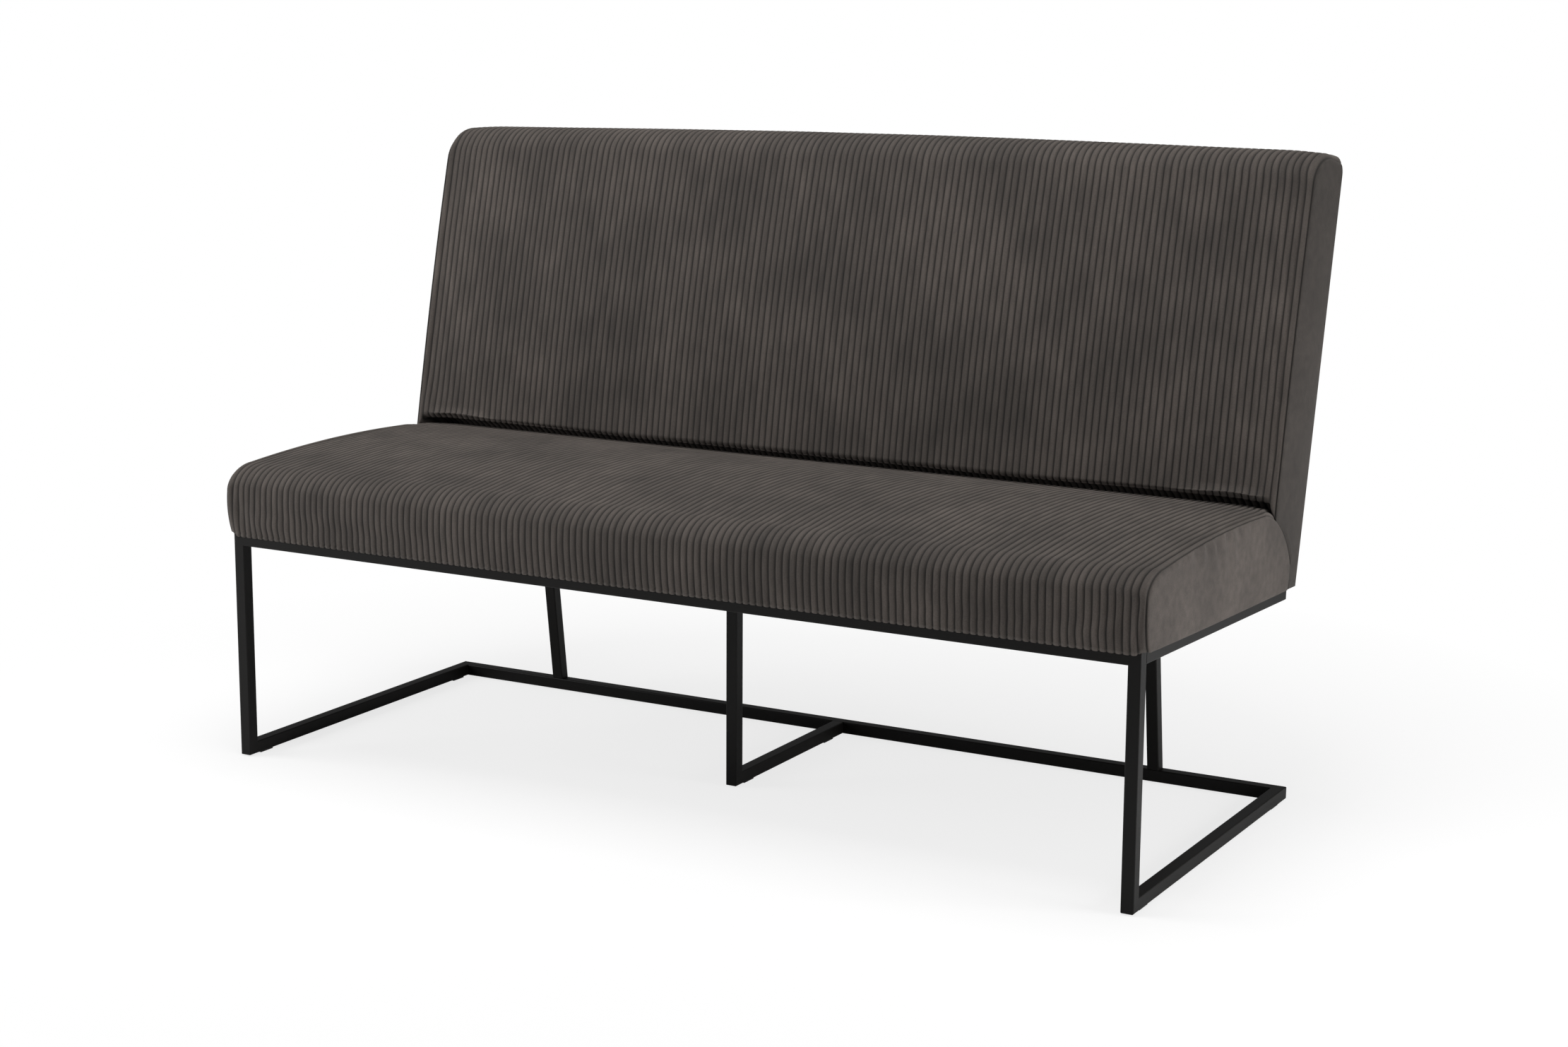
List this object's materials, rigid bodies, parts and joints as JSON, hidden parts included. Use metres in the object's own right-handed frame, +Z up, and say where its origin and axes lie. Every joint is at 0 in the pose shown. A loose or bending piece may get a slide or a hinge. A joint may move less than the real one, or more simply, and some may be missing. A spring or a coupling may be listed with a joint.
{
  "type": "dining banquette",
  "caption": "Armless tall-backed upholstered dining bench in wide-rib corduroy on a slim black square-tube sled base.",
  "frame": {"origin": "floor, centre of the bounding box", "axes": "+X along the bench to the sitter's left hand, -Y towards the front, +Z up"},
  "size_m": [1.6, 0.7675, 1.0144],
  "materials": {
    "black_powder_coat": "satin powder coat",
    "glide_plastic": "matt black polyethylene",
    "frame_timber": "planed beech, unfinished",
    "elastic_webbing": "woven elastic strap",
    "polyurethane_foam": "open-cell foam",
    "wide_rib_corduroy": "wide-rib pile",
    "dust_cloth": "black non-woven sheet",
    "zinc_plated_steel": "bright zinc"
  },
  "bodies": {
    "root": {"front_seat_rail": "black_powder_coat", "front_leg_left": "black_powder_coat", "front_leg_right": "black_powder_coat", "side_seat_rail_left": "black_powder_coat", "side_seat_rail_right": "black_powder_coat", "rear_seat_rail": "black_powder_coat", "seat_bearer_left": "black_powder_coat", "seat_bearer_centre": "black_powder_coat", "seat_bearer_right": "black_powder_coat", "centre_leg": "black_powder_coat", "floor_runner_left": "black_powder_coat", "floor_runner_right": "black_powder_coat", "floor_runner_centre": "black_powder_coat", "rear_floor_bar": "black_powder_coat", "rear_strut_left": "black_powder_coat", "rear_strut_right": "black_powder_coat", "floor_glides": "glide_plastic", "seat_front_timber": "frame_timber", "seat_rear_timber": "frame_timber", "seat_end_timber_left": "frame_timber", "seat_end_timber_right": "frame_timber", "seat_cross_brace_left": "frame_timber", "seat_cross_brace_centre": "frame_timber", "seat_cross_brace_right": "frame_timber", "seat_corner_blocks": "frame_timber", "seat_webbing": "elastic_webbing", "seat_foam": "polyurethane_foam", "seat_cover_main": "wide_rib_corduroy", "seat_cover_end_left": "wide_rib_corduroy", "seat_cover_end_right": "wide_rib_corduroy", "seat_dust_cover": "dust_cloth", "seat_fixing_screws": "zinc_plated_steel", "back_upright_left": "frame_timber", "back_upright_right": "frame_timber", "back_inner_upright_left": "frame_timber", "back_inner_upright_right": "frame_timber", "back_top_rail": "frame_timber", "back_bottom_rail": "frame_timber", "back_webbing": "elastic_webbing", "back_foam": "polyurethane_foam", "back_cover_front": "wide_rib_corduroy", "back_cover_end_left": "wide_rib_corduroy", "back_cover_end_right": "wide_rib_corduroy", "back_cover_rear": "wide_rib_corduroy", "back_coach_screws": "zinc_plated_steel"}
  },
  "joints": []
}
